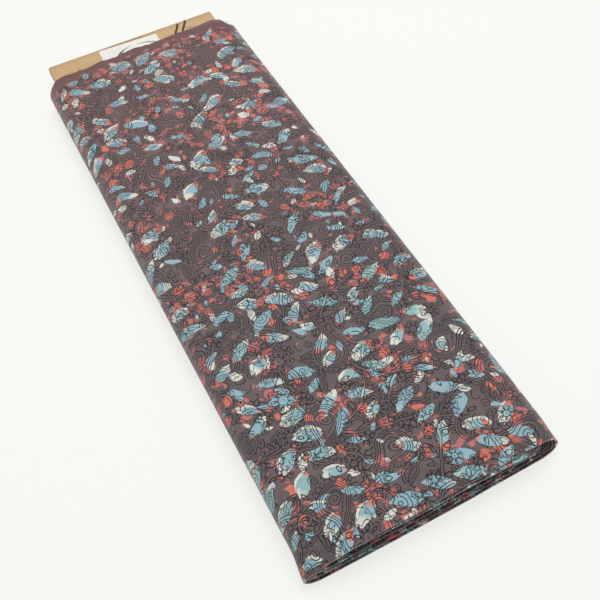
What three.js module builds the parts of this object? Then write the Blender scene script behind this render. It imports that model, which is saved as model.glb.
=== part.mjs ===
// A flat bolt of block-printed dabu cotton: one length of cloth, folded double down its middle and
// wound round a corrugated bolt board, lying on its side on a table.
// Millimetres, +Z up. X runs across the bolt, and +Y runs along it, from the folded edge of the cloth
// to its selvedges, where the board stands out with a plain paper label on it.
// The origin is under the middle of the whole, on the surface that the bolt lies on.
import * as THREE from "three";

// ---- Driving dimensions ------------------------------------------------------------------------
const CLOTH_WIDTH = 1142; // the open cloth, selvedge to selvedge
const BOLT_LENGTH = CLOTH_WIDTH / 2; // the cloth is folded double before it is wound
const BOLT_THICKNESS = 28;
const BOARD_WIDTH = 185.5;
const BOARD_LENGTH = 572;
const BOARD_THICKNESS = 11;
const BOARD_STANDS_OUT = 27; // past the farthest selvedge
const BOARD_EDGE = 1.2; // bevel of the board's long folded edges
const SIDE_BULGE = 3.5; // how far the cloth's U-turn stands off the board's long edge
const CLEARANCE = 0.3; // between the board and the innermost turn
const WALL = 1.35; // one modelled turn, which stands for about three real ones of doubled cloth
// The label's corners: x, and how far back from the board's end. It lies a little askew, and its near
// edge stops under the cloth, just short of the innermost turn.
const LABEL_CORNERS = [[-37.9, 2.4], [26.4, 5.4], [25.2, 30.4], [-39.2, 32.0]];
const LABEL_THICKNESS = 0.4;

// The cloth's free end lies under the bolt. Next to it each turn climbs to the level of the next.
const FREE_END_X = 40;
const CLIMB = 38;
const SEAM = 0.35; // between the end of one turn and the start of the next

// One row for each turn, outermost first. over and under give how far the folded near edge lies back
// from the bolt's end, over the top and under the bolt, at its left, middle and right. selvedge is the
// same for the far edge. droop lowers the turn's top into the hollow past the board, and lift raises
// its top at the selvedges.
const TURNS = [
  { over: [1.0, 2.0, 5.4], under: [0.8, 0.0, 1.4], selvedge: 0.0, droop: 3.2, lift: 1.1 },
  { over: [4.5, 0.6, 0.9], under: [2.4, 1.2, 3.4], selvedge: 2.2, droop: 3.9, lift: 0.8 },
  { over: [9.0, 7.6, 7.0], under: [4.0, 3.4, 5.0], selvedge: 0.9, droop: 4.7, lift: 0.5 },
  { over: [12.5, 10.4, 12.0], under: [8.0, 6.2, 9.0], selvedge: 3.4, droop: 5.6, lift: 0.2 },
  { over: [15.0, 13.6, 15.2], under: [10.4, 8.8, 11.6], selvedge: 1.6, droop: 6.5, lift: 0.0 },
];
// Every edge wanders along the bolt's width by up to twice depth, in two waves and out of step by turn.
const WANDER = { depth: 0.5, shortWave: 13, longWave: 31, perTurn: 2.1 };
// Past the board the bolt's two near corners fall into the hollow and are pressed flat and outwards.
// Round the far corners the selvedge runs back. bulge is the stand of the cloth's U-turn there. Each
// pair holds the left and the right corner.
const NEAR_CORNERS = { fromX: 62, drop: [6.2, 5.2], flatten: [0.24, 0.14], bulge: [5.6, 5.8] };
const FAR_CORNERS = { fromX: 80, back: [8.0, 12.5], bulge: [3.2, 5.2] };
const SELVEDGE_SLANT = 0.03; // the selvedges run back by this much for each mm from right to left
// Where the tops lift at the selvedges: a little everywhere, and most at the left and the right corner.
const LIFT_EVERYWHERE = 0.2;
const LIFTS = [
  { x: -78, spread: 26, share: 1.0 },
  { x: 88, spread: 16, share: 0.9 },
];
const LIFT_ZONE = 26; // how far in from the selvedge a turn's top lifts and its bulge changes
const MARGIN = 0.4; // a fall starts this far clear of the board

// ---- Worked-out places -------------------------------------------------------------------------
const NEAR_Y = -(BOLT_LENGTH + BOARD_STANDS_OUT) / 2;
const FAR_Y = NEAR_Y + BOLT_LENGTH;
const BOARD_FAR_Y = FAR_Y + BOARD_STANDS_OUT;
const BOARD_NEAR_Y = BOARD_FAR_Y - BOARD_LENGTH;
const MIDDLE_Z = BOLT_THICKNESS / 2;
const BOARD_TOP_Z = MIDDLE_Z + BOARD_THICKNESS / 2;
const BOARD_UNDER_Z = MIDDLE_Z - BOARD_THICKNESS / 2;
const PITCH = (BOARD_UNDER_Z - CLEARANCE - WALL) / (TURNS.length - 1);
const BULGE_RADIUS = ((BOARD_THICKNESS / 2) ** 2 + SIDE_BULGE ** 2) / (2 * SIDE_BULGE);
const BULGE_ANGLE = Math.asin(BOARD_THICKNESS / 2 / BULGE_RADIUS);
const BULGE_CENTRE_X = BOARD_WIDTH / 2 + SIDE_BULGE - BULGE_RADIUS;
const BOLT_HALF_WIDTH = BOARD_WIDTH / 2 + SIDE_BULGE + BOARD_UNDER_Z;
const POCKET_DEPTH = BOARD_NEAR_Y - NEAR_Y; // from the bolt's folded end to the board's end in it

// Samples across the flat stretches, as shares of the board's half width, and along each turn: from
// its folded edge to the board's end, and back from its selvedge.
const FLAT_SHARES = [-1, -0.9, -0.75, -0.55, -0.3, 0, 0.3, 0.55, 0.75, 0.9, 1];
const FLAT_X = FLAT_SHARES.map((share) => (share * BOARD_WIDTH) / 2);
const CORNER_STEPS = 3;
const BULGE_STEPS = 8;
const CLIMB_STEPS = 4;
const NEAR_STATIONS = [0, 3, 7, 12, 18, POCKET_DEPTH];
const FAR_STATIONS = [LIFT_ZONE, 17, 10, 4, 0];

const smooth = (from, to, value) => THREE.MathUtils.smoothstep(value, from, to);
const mix = THREE.MathUtils.lerp;
const sideOf = (x) => (x < 0 ? 0 : 1); // the place in a [left, right] pair

// ---- The section of a turn ---------------------------------------------------------------------
// Points round the board, from the free end under it, past the left edge, over the top and back
// under. Each holds a place on the board's own outline, the direction out of it, how far the place
// bulges past the board's edge, and how far the turn has climbed (0 to 1) towards the next one in.
function sectionPoints(climbs) {
  const points = [];
  const flat = (x, side, climbed = 0) =>
    points.push({ x, z: side > 0 ? BOARD_TOP_Z : BOARD_UNDER_Z, nx: 0, nz: side, bulge: 0, climbed });
  const arc = (cx, cz, radius, from, to, steps) => {
    for (let i = 1; i <= steps; i++) {
      const a = mix(from, to, i / steps);
      const [nx, nz] = [Math.cos(a), Math.sin(a)];
      const x = cx + radius * nx;
      const bulge = Math.max(0, Math.abs(x) - BOARD_WIDTH / 2);
      points.push({ x, z: cz + radius * nz, nx, nz, bulge, climbed: 0 });
    }
  };
  // The three arcs of one long edge: the board's corner, the bulge past its edge, and the other corner.
  const edge = (side) => {
    const half = Math.PI / 2;
    const turn = (a) => (side < 0 ? 3 * half - a : half - a); // a runs from 0 to a half turn
    const leaves = half - BULGE_ANGLE;
    const meets = half + BULGE_ANGLE;
    const x = (side * BOARD_WIDTH) / 2;
    const [firstZ, lastZ] = side < 0 ? [BOARD_UNDER_Z, BOARD_TOP_Z] : [BOARD_TOP_Z, BOARD_UNDER_Z];
    arc(x, firstZ, 0, turn(0), turn(leaves), CORNER_STEPS);
    arc(side * BULGE_CENTRE_X, MIDDLE_Z, BULGE_RADIUS, turn(leaves), turn(meets), BULGE_STEPS);
    arc(x, lastZ, 0, turn(meets), turn(2 * half), CORNER_STEPS);
  };
  flat(FREE_END_X, -1);
  for (const x of [...FLAT_X].reverse()) if (x < FREE_END_X) flat(x, -1);
  edge(-1);
  for (const x of FLAT_X.slice(1)) flat(x, 1);
  edge(1);
  const climbEnd = FREE_END_X + SEAM;
  const climbStart = climbEnd + CLIMB;
  flat(climbStart, -1);
  if (climbs)
    for (let i = 1; i <= CLIMB_STEPS; i++) {
      const share = i / CLIMB_STEPS;
      flat(mix(climbStart, climbEnd, share), -1, smooth(0, 1, share));
    }
  return points;
}

// ---- The cloth's edges and its fall past the board ---------------------------------------------
const across = (x, left, middle, right) => {
  const share = THREE.MathUtils.clamp(x / BOLT_HALF_WIDTH, -1, 1);
  return middle + (share < 0 ? left - middle : right - middle) * share * share;
};
const wander = (x, index) => {
  const short = Math.sin(x / WANDER.shortWave + WANDER.perTurn * index);
  const long = Math.cos(x / WANDER.longWave + index);
  return WANDER.depth * (1 + short * long);
};

function nearEdge(turn, index, x, z) {
  const top = across(x, ...turn.over);
  const under = across(x, ...turn.under);
  const uneven = index === 0 ? wander(x, index) * smooth(0, BOLT_THICKNESS, z) : wander(x, index);
  return NEAR_Y + mix(under, top, smooth(0, BOLT_THICKNESS, z)) + uneven;
}

function farEdge(turn, index, x) {
  const back = FAR_CORNERS.back[sideOf(x)] * smooth(FAR_CORNERS.fromX, BOLT_HALF_WIDTH, Math.abs(x));
  const uneven = index === 0 ? 0 : wander(x, index + TURNS.length);
  const slant = SELVEDGE_SLANT * (BOLT_HALF_WIDTH - x);
  return FAR_Y - turn.selvedge - back - uneven - slant;
}

// How far a point lies into the fall at the bolt's folded end (1 at the end, 0 at the board) and into
// the lift at the selvedges (0 to 1).
const nearShare = (y) => 1 - smooth(NEAR_Y, BOARD_NEAR_Y - MARGIN, y);
const farShare = (y) => smooth(FAR_Y - LIFT_ZONE, FAR_Y, y);

// Past the board the top of each turn droops into the hollow, most at the corners, which are also
// pressed flat. At the selvedges the top lifts.
function fall(turn, x, y, z) {
  const side = sideOf(x);
  const top = smooth(BOARD_UNDER_Z + MARGIN, BOARD_TOP_Z - MARGIN, z);
  const corner = smooth(NEAR_CORNERS.fromX, BOLT_HALF_WIDTH, Math.abs(x));
  const drop = mix(turn.droop, NEAR_CORNERS.drop[side], corner);
  const bump = ({ x: at, spread, share }) => share * Math.exp(-(((x - at) / spread) ** 2));
  const lift = turn.lift * LIFTS.reduce((sum, row) => sum + bump(row), LIFT_EVERYWHERE);
  const height = z - top * nearShare(y) * drop + top * farShare(y) * lift;
  return height * (1 - NEAR_CORNERS.flatten[side] * nearShare(y) * corner);
}

// The bulge past the board's long edges grows or shrinks towards both ends.
function sideways(point, x, y) {
  const growth = (corners) => corners.bulge[sideOf(x)] / SIDE_BULGE - 1;
  const grown = growth(NEAR_CORNERS) * nearShare(y) + growth(FAR_CORNERS) * farShare(y);
  return x + Math.sign(x) * grown * point.bulge;
}

// ---- One turn of doubled cloth as a wall -------------------------------------------------------
// A grid of rows (round the bolt) by stations (along it), once for the wall's outside and once for
// its inside, closed along both long edges and at both ends.
function turnGeometry(turn, index) {
  const innermost = index === TURNS.length - 1;
  const rows = sectionPoints(!innermost);
  const inside = CLEARANCE + PITCH * (TURNS.length - 1 - index);
  const stations = NEAR_STATIONS.length + FAR_STATIONS.length;
  const positions = [];
  for (const offset of [inside + WALL, inside])
    for (const p of rows) {
      const d = offset - PITCH * p.climbed;
      const [x, z] = [p.x + p.nx * d, p.z + p.nz * d];
      const middle = inside + WALL / 2 - PITCH * p.climbed;
      const near = nearEdge(turn, index, p.x + p.nx * middle, p.z + p.nz * middle);
      const far = farEdge(turn, index, p.x + p.nx * middle);
      const reach = BOARD_NEAR_Y - near;
      const places = [
        ...NEAR_STATIONS.map((s) => near + (s / NEAR_STATIONS.at(-1)) * reach),
        ...FAR_STATIONS.map((s) => far - s),
      ];
      for (const y of places) positions.push(sideways(p, x, y), y, fall(turn, x, y, z));
    }
  const at = (layer, row, station) => (layer * rows.length + row) * stations + station;
  const faces = [];
  const quad = (a, b, c, d) => faces.push(a, c, b, a, d, c);
  for (let r = 0; r + 1 < rows.length; r++)
    for (let s = 0; s + 1 < stations; s++) {
      quad(at(0, r, s), at(0, r, s + 1), at(0, r + 1, s + 1), at(0, r + 1, s));
      quad(at(1, r, s), at(1, r + 1, s), at(1, r + 1, s + 1), at(1, r, s + 1));
    }
  for (let r = 0; r + 1 < rows.length; r++) {
    quad(at(0, r, 0), at(0, r + 1, 0), at(1, r + 1, 0), at(1, r, 0));
    const s = stations - 1;
    quad(at(0, r, s), at(1, r, s), at(1, r + 1, s), at(0, r + 1, s));
  }
  for (let s = 0; s + 1 < stations; s++) {
    quad(at(0, 0, s), at(1, 0, s), at(1, 0, s + 1), at(0, 0, s + 1));
    const r = rows.length - 1;
    quad(at(0, r, s), at(0, r, s + 1), at(1, r, s + 1), at(1, r, s));
  }
  const geometry = new THREE.BufferGeometry();
  geometry.setAttribute("position", new THREE.Float32BufferAttribute(positions, 3));
  geometry.setIndex(faces);
  geometry.computeVertexNormals();
  return geometry;
}

// ---- The board and its label -------------------------------------------------------------------
// The board's section, with its long folded edges bevelled, drawn out along its length.
function boardGeometry() {
  const [w, t, e] = [BOARD_WIDTH / 2, BOARD_THICKNESS / 2, BOARD_EDGE];
  const section = new THREE.Shape();
  section.moveTo(-w + e, -t);
  section.lineTo(w - e, -t);
  section.lineTo(w, -t + e);
  section.lineTo(w, t - e);
  section.lineTo(w - e, t);
  section.lineTo(-w + e, t);
  section.lineTo(-w, t - e);
  section.lineTo(-w, -t + e);
  section.closePath();
  const geometry = new THREE.ExtrudeGeometry(section, { depth: BOARD_LENGTH, bevelEnabled: false });
  return geometry.rotateX(Math.PI / 2);
}

// The label as a thin plate, with its corners measured from the board's end.
function labelGeometry() {
  const outline = new THREE.Shape(LABEL_CORNERS.map(([x, back]) => new THREE.Vector2(x, -back)));
  return new THREE.ExtrudeGeometry(outline, { depth: LABEL_THICKNESS, bevelEnabled: false });
}

// ---- Assembly ----------------------------------------------------------------------------------
const materials = {
  cloth: new THREE.MeshStandardMaterial({ color: 0x5e4a4e, roughness: 0.85, metalness: 0 }),
  cardboard: new THREE.MeshStandardMaterial({ color: 0xc9a673, roughness: 0.9, metalness: 0 }),
  paper: new THREE.MeshStandardMaterial({ color: 0xe6e9e8, roughness: 0.7, metalness: 0 }),
};

function part(name, geometry, material, x = 0, y = 0, z = 0) {
  const mesh = new THREE.Mesh(geometry, material);
  mesh.name = name;
  mesh.position.set(x, y, z);
  return mesh;
}

const bolt = new THREE.Group();
bolt.add(part("bolt_board", boardGeometry(), materials.cardboard, 0, BOARD_FAR_Y, MIDDLE_Z));

const labelZ = BOARD_TOP_Z + CLEARANCE;
bolt.add(part("paper_label", labelGeometry(), materials.paper, 0, BOARD_FAR_Y, labelZ));

TURNS.forEach((turn, index) => {
  bolt.add(part(`cloth_turn_${index + 1}`, turnGeometry(turn, index), materials.cloth));
});

export default bolt;
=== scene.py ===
# A flat bolt of block-printed dabu cotton on its cardboard bolt board.
# Metres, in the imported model's frame: +X across the bolt, +Y from the cloth's folded edge to its
# selvedges and the bare end of the board, +Z up from the surface that it lies on. The print is drawn
# by shader nodes on the unrolled cloth, in millimetres.
from math import asin, atan2, cos, exp, hypot, pi, radians, sin, sqrt

import bpy
import numpy as np
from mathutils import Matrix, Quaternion, Vector


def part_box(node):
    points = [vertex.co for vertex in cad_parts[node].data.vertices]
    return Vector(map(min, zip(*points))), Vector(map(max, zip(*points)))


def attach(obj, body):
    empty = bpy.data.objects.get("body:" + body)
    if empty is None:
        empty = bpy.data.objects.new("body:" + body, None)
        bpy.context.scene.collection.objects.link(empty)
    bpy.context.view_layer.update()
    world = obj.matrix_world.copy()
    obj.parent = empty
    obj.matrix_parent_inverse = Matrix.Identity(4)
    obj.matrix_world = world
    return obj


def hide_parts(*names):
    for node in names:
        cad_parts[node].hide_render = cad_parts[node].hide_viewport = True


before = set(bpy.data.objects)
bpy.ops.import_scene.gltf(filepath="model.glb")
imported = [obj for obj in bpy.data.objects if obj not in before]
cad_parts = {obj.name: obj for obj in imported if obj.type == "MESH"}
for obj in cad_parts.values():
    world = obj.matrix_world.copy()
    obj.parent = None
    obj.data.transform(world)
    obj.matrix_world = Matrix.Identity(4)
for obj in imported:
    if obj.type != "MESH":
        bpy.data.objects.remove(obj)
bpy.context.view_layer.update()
MM = 0.001

# ---- Sizes that the cloth shares with its CAD solids ----
BOARD_LOW, BOARD_HIGH = (Vector(corner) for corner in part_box("bolt_board"))
BOARD_HALF = BOARD_HIGH.x
BOARD_THICKNESS = BOARD_HIGH.z - BOARD_LOW.z
MIDDLE_Z = (BOARD_HIGH.z + BOARD_LOW.z) / 2
BOLT_THICKNESS = 2 * MIDDLE_Z
SIDE_BULGE = 3.5 * MM
CLEARANCE = 0.3 * MM
FREE_END_X = 40 * MM
SEAM = 0.35 * MM
CLIMB = 38 * MM
BOLT_LENGTH = 571 * MM
BOARD_STANDS_OUT = 27 * MM
NEAR_Y = -(BOLT_LENGTH + BOARD_STANDS_OUT) / 2
FAR_Y = NEAR_Y + BOLT_LENGTH
BOLT_HALF_WIDTH = BOARD_HALF + SIDE_BULGE + BOARD_LOW.z

# One row for each CAD solid of cloth, outermost first, in millimetres: how far its folded edge lies
# back from the bolt's end over the top and under it, at its left, middle and right; how far its
# selvedge lies back; how much its top droops past the board; and how much it lifts at the selvedges.
TURNS = [
    {"over": (1.0, 2.0, 5.4), "under": (0.8, 0.0, 1.4), "selvedge": 0.0, "droop": 3.2, "lift": 1.1},
    {"over": (4.5, 0.6, 0.9), "under": (2.4, 1.2, 3.4), "selvedge": 2.2, "droop": 3.9, "lift": 0.8},
    {"over": (9.0, 7.6, 7.0), "under": (4.0, 3.4, 5.0), "selvedge": 0.9, "droop": 4.7, "lift": 0.5},
    {"over": (12.5, 10.4, 12.0), "under": (8.0, 6.2, 9.0), "selvedge": 3.4, "droop": 5.6, "lift": 0.2},
    {"over": (15.0, 13.6, 15.2), "under": (10.4, 8.8, 11.6), "selvedge": 1.6, "droop": 6.5, "lift": 0.0},
]
WANDER = {"depth": 0.5, "short_wave": 13.0, "long_wave": 31.0, "per_turn": 2.1}  # mm
NEAR_CORNERS = {"from_x": 62.0, "drop": (6.2, 5.2), "flatten": (0.24, 0.14), "bulge": (5.6, 5.8)}
FAR_CORNERS = {"from_x": 80.0, "back": (8.0, 12.5), "bulge": (3.2, 5.2)}
SELVEDGE_SLANT = 0.03  # the selvedges run back by this much from right to left
LIFT_EVERYWHERE = 0.2
LIFTS = [{"x": -78.0, "spread": 26.0, "share": 1.0}, {"x": 88.0, "spread": 16.0, "share": 0.9}]
LIFT_ZONE = 26 * MM
MARGIN = 0.4 * MM

# The real cloth: each solid holds this many windings of doubled cloth.
WINDINGS_PER_TURN = 3
WINDINGS = WINDINGS_PER_TURN * len(TURNS)
PLY = 0.24 * MM  # one thickness of the cloth
PLY_GAP = 0.03 * MM  # between the two plies of a winding
WINDING_PITCH = (BOARD_LOW.z - CLEARANCE) / WINDINGS

# ---- Camera ----
IMAGE_SIZE = 600  # pixels, each way
CAMERA = {"azimuth": -24.292, "elevation": 54.332, "roll": -4.1995}  # degrees
CAMERA_TARGET = Vector((0.003565, -0.080588, 0.0))
CAMERA_DISTANCE = 0.73197
FOCAL_PIXELS = 858.71
SENSOR = 36.0  # mm


def make_camera():
    azimuth, elevation = radians(CAMERA["azimuth"]), radians(CAMERA["elevation"])
    back = Vector((sin(azimuth) * cos(elevation), -cos(azimuth) * cos(elevation), sin(elevation)))
    camera = bpy.data.objects.new("camera", bpy.data.cameras.new("camera"))
    bpy.context.scene.collection.objects.link(camera)
    camera.location = CAMERA_TARGET + back * CAMERA_DISTANCE
    camera.rotation_mode = "QUATERNION"
    roll = Quaternion((0, 0, 1), radians(CAMERA["roll"]))
    camera.rotation_quaternion = (-back).to_track_quat("-Z", "Y") @ roll
    camera.data.sensor_width = SENSOR
    camera.data.lens = FOCAL_PIXELS / IMAGE_SIZE * SENSOR
    bpy.context.scene.camera = camera


make_camera()


# ---- Node graphs as arithmetic ----
def operator(operation):
    """A method of Number that adds one maths node."""
    return lambda self, other: self.graph.math(operation, self, other)


class Number:
    """One number that varies over a surface: a node's output, with Python's own arithmetic."""

    def __init__(self, graph, socket):
        self.graph, self.socket = graph, socket

    __add__, __sub__ = operator("ADD"), operator("SUBTRACT")
    __mul__, __truediv__ = operator("MULTIPLY"), operator("DIVIDE")
    __lt__, __gt__ = operator("LESS_THAN"), operator("GREATER_THAN")

    def __rsub__(self, other):
        return self.graph.math("SUBTRACT", other, self)

    def __abs__(self):
        return self.graph.math("ABSOLUTE", self)


class Graph:
    """A material's node tree, built by calls that each add one node or a few."""

    def __init__(self, tree):
        self.tree = tree

    def feed(self, socket, value):
        if isinstance(value, Number):
            self.tree.links.new(value.socket, socket)
        elif isinstance(value, bpy.types.NodeSocket):
            self.tree.links.new(value, socket)
        else:
            socket.default_value = value

    def node(self, kind, inputs=(), **settings):
        """A new node. inputs pair the name or number of a socket with what goes into it."""
        node = self.tree.nodes.new(kind)
        for name, value in settings.items():
            setattr(node, name, value)
        for socket, value in dict(inputs).items():
            self.feed(node.inputs[socket], value)
        return node

    def math(self, operation, *values):
        return Number(self, self.node("ShaderNodeMath", enumerate(values), operation=operation).outputs[0])

    def sin(self, a):
        return self.math("SINE", a)

    def floor(self, a):
        return self.math("FLOOR", a)

    def fract(self, a):
        return self.math("FRACT", a)

    def minimum(self, a, b):
        return self.math("MINIMUM", a, b)

    def maximum(self, first, *others):
        for other in others:
            first = self.math("MAXIMUM", first, other)
        return first

    def angle(self, x, y):
        return self.math("ARCTAN2", y, x)

    def length(self, x, y):
        return self.math("SQRT", self.math("MULTIPLY_ADD", x, x, y * y))

    def ramp(self, value, low, high, to_low=0.0, to_high=1.0):
        inputs = enumerate((value, low, high, to_low, to_high))
        node = self.node("ShaderNodeMapRange", inputs, interpolation_type="SMOOTHSTEP")
        return Number(self, node.outputs[0])

    def pick(self, mask, no, yes):
        """no where mask is 0, yes where it is 1."""
        node = self.node("ShaderNodeMix", {0: mask, 2: no, 3: yes}, data_type="FLOAT")
        return Number(self, node.outputs[0])

    def colour(self, mask, no, yes, blend="MIX"):
        """A colour mixed by mask. no and yes are colour sockets or red, green and blue."""
        no, yes = [(*colour, 1.0) if isinstance(colour, tuple) else colour for colour in (no, yes)]
        inputs = {0: mask, 6: no, 7: yes}
        return self.node("ShaderNodeMix", inputs, data_type="RGBA", blend_type=blend).outputs[2]

    def point(self, x, y, z=0.0):
        return self.node("ShaderNodeCombineXYZ", enumerate((x, y, z))).outputs[0]

    def split(self, vector):
        node = self.node("ShaderNodeSeparateXYZ", {0: vector})
        return [Number(self, output) for output in node.outputs]

    def noise_node(self, where, wave, detail=2.0, roughness=0.5):
        inputs = {"Vector": where, "Scale": 1 / wave, "Detail": detail, "Roughness": roughness}
        return self.node("ShaderNodeTexNoise", inputs)

    def noise(self, *settings):
        """Smooth noise about 0.5, with bumps about one wave across."""
        return Number(self, self.noise_node(*settings).outputs[0])

    def chance(self, x, y, seed):
        """Three numbers from 0 to 1 that are the same all over one cell."""
        inputs = {"Vector": self.point(x, y, float(seed))}
        node = self.node("ShaderNodeTexWhiteNoise", inputs, noise_dimensions="3D")
        return self.split(node.outputs["Color"])

    def turned(self, x, y, angle):
        """x and y on axes turned by a fixed angle in radians."""
        c, s = cos(angle), sin(angle)
        return self.math("MULTIPLY_ADD", x, c, y * s), self.math("MULTIPLY_ADD", y, c, x * -s)

    def spun(self, x, y, angle):
        """x and y on axes turned by an angle that varies."""
        c, s = self.math("COSINE", angle), self.math("SINE", angle)
        return self.math("MULTIPLY_ADD", x, c, y * s), y * c - x * s

    def place(self):
        """Where on its piece a point is, in millimetres along X, Y and Z."""
        return [axis * 1000.0 for axis in self.split(self.node("ShaderNodeTexCoord").outputs["Object"])]

    def bump(self, shader, height, strength, depth):
        inputs = {"Strength": strength, "Distance": depth, "Height": height}
        self.feed(shader.inputs["Normal"], self.node("ShaderNodeBump", inputs).outputs[0])


def new_material(name, specular=0.5, roughness=0.9):
    material = bpy.data.materials.new(name)
    material.use_nodes = True
    shader = material.node_tree.nodes["Principled BSDF"]
    shader.inputs["Specular IOR Level"].default_value = specular
    shader.inputs["Roughness"].default_value = roughness
    return material, Graph(material.node_tree), shader


# ---- The print: lines ----
# Motifs are drawn about their own middle, x and y in millimetres. Each returns its ink and the ground
# that it covers, as numbers that are 1 there and 0 elsewhere.
LINE = 0.66  # mm, the width of a printed line
LINE_SCALE = 1.08  # the whole line drawing is enlarged by this
COLUMN_SHIFT = 0.37  # of a cell, from one column of a grid to the next
PAISLEY_TIP = 0.6  # mm, the radius of its point
LEAFLET = {"length": 3.3, "width": 1.35}  # half of each, in mm
LEAFLET_OUT, LEAFLET_ANGLE = 4.6, radians(52)  # mm from the stem's middle to the leaflet's


def lens(g, x, y, length, width):
    """The distance outside a leaf with two points, from half its length and half its width."""
    offset = (length * length - width * width) / (2 * width)
    return g.length(x, abs(y) + offset) - (offset + width)


def line(g, distance, at=0.0):
    return abs(distance - at if at else distance) < LINE / 2


def stripes(g, value, pitch):
    """Lines one pitch apart along value."""
    return abs(g.fract(value / pitch) - 0.5) < LINE / 2 / pitch


def spiral(g, x, y, radius, pitch):
    r = g.length(x, y)
    turn = g.angle(x, y) / (2 * pi)
    coil = abs(g.fract(r / pitch - turn) - 0.5) < LINE / 2 / pitch
    return coil * (r < radius)


def rosette(g, x, y, radius, petals):
    r, a = g.length(x, y), g.angle(x, y)
    lobes = abs(g.sin(a * (petals / 2)))
    edge = r - (radius * 0.74) - lobes * (radius * 0.26)
    across = g.fract(a * (petals / (2 * pi))) - 0.5
    drop = g.length((r - radius * 0.62) * 0.55, across * r * (2 * pi / petals))
    ink = g.maximum(line(g, edge), line(g, r, radius * 0.36), line(g, drop, radius * 0.09), r < LINE * 0.8)
    return ink, edge < LINE / 2


def sprig(g, x, y, length, width):
    """A pointed leaf with its midrib and veins, and a second outline round it."""
    edge = lens(g, x, y, length, width)
    inside = edge < -LINE
    vein = stripes(g, x - abs(y) * 1.3, 2.7) * inside
    rib = line(g, y) * (edge < 1.2)
    return g.maximum(line(g, edge), line(g, edge, 1.7), vein, rib), edge < 2.1


def paisley(g, x, y, head, tail, bend):
    """A bent drop with outlines that run round inside each other, a scalloped frill and a curl."""
    lean = g.maximum(y, 0.0)
    px = abs(x - lean * lean * bend)
    slope = (head - PAISLEY_TIP) / tail
    rise = sqrt(1 - slope * slope)
    along = y * rise - px * slope
    round_head = g.length(px, y) - head
    round_side = px * rise + y * slope - head
    edge = g.pick(along > 0.0, round_head, round_side)
    edge = g.pick(along > tail * rise, edge, g.length(px, y - tail) - PAISLEY_TIP)
    lobes = abs(g.sin(g.angle(x, y - head * 0.4) * 13.0))
    frill = edge - 1.0 - lobes * 2.6
    inner = edge + head * 0.43 + lobes * 0.9
    ink = g.maximum(line(g, frill), line(g, edge, 0.2), line(g, edge, -1.5), line(g, edge, -head * 0.26))
    ink = g.maximum(ink, line(g, inner), (lobes < 0.22) * (edge < 1.2) * (edge > 0.0))
    ink = g.maximum(ink, spiral(g, x, y, head * 0.46, head * 0.2))
    return ink, frill < LINE / 2


def shell(g, x, y, radius):
    """Half rings that open to one side, with a scalloped rim."""
    r, a = g.length(x, y), g.angle(x, y)
    rim = r - radius * 0.8 - abs(g.sin(a * 6.0)) * (radius * 0.2)
    rings = stripes(g, r, radius * 0.27) * (r < radius * 0.75)
    return g.maximum(line(g, rim), rings) * (x > -radius * 0.35), (rim < LINE / 2) * (x > -radius * 0.35)


def scroll(g, x, y, radius, pitch):
    """A stem of two lines that curls in on itself, with a scalloped frill round it."""
    r, a = g.length(x, y), g.angle(x, y)
    away = abs(g.fract(r / pitch - a / (2 * pi)) - 0.5) * pitch
    inside = r < radius
    frill = r - radius - abs(g.sin(a * 7.5)) * 2.4
    ink = g.maximum(line(g, away, 1.0) * inside, line(g, frill), line(g, r, radius))
    return ink, g.maximum((away < 1.4) * inside, (frill < LINE / 2) * (r > radius))


def cells(g, x, y, pitch, angle, seed, loose):
    """A grid of cells turned by an angle in degrees, each column shifted along by a part of a cell.
    Returns the place in the cell and four random numbers of the cell's own."""
    wide, high = pitch
    u, v = g.turned(x, y, radians(angle))
    column = g.floor(u / wide)
    v = v + column * (high * COLUMN_SHIFT)
    row = g.floor(v / high)
    first, second, third = g.chance(column, row, seed)
    px = u - (column + 0.5) * wide + (first - 0.5) * (wide * loose)
    py = v - (row + 0.5) * high + (second - 0.5) * (high * loose)
    return px, py, third, *g.chance(column, row, seed + 0.5)


def spun_cells(g, x, y, pitch, angle, seed, loose):
    """Square cells whose contents are turned any way at random."""
    px, py, turn, pick, size, spare = cells(g, x, y, (pitch, pitch), angle, seed, loose)
    px, py = g.spun(px, py, turn * (2 * pi))
    return px, py, pick, size, spare


def either(g, chosen, first, second):
    """The ink and cover of the first motif where chosen is 1, and of the second elsewhere."""
    return [g.pick(chosen, no, yes) for no, yes in zip(second, first)]


def vines(g, x, y, angle, pitch, swing, wave, leaflet):
    """Stems of two lines that swing from side to side, with a leaflet every so often on each side."""
    u, v = g.turned(x, y, radians(angle))
    row = g.floor(v / pitch)
    phase = g.fract(g.sin(row * 12.9898) * 43.7) * (2 * pi)
    centre = g.sin(g.math("MULTIPLY_ADD", u, 2 * pi / wave, phase)) * swing
    slope = 1 / sqrt(1 + (2 * pi / wave * swing) ** 2 / 2)
    away = abs((v - (row + 0.5) * pitch - centre) * slope)
    stem = line(g, away, 1.0)
    along = (g.fract(u / leaflet) - 0.5) * leaflet
    px, py = g.turned(along, away - LEAFLET_OUT, LEAFLET_ANGLE)
    leaf = lens(g, px, py, **LEAFLET)
    ink = g.maximum(stem, line(g, leaf), line(g, g.length(along + leaflet * 0.33, away - 2.9), 0.95))
    return ink, g.maximum(away < 1.4, leaf < LINE / 2)


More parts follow.
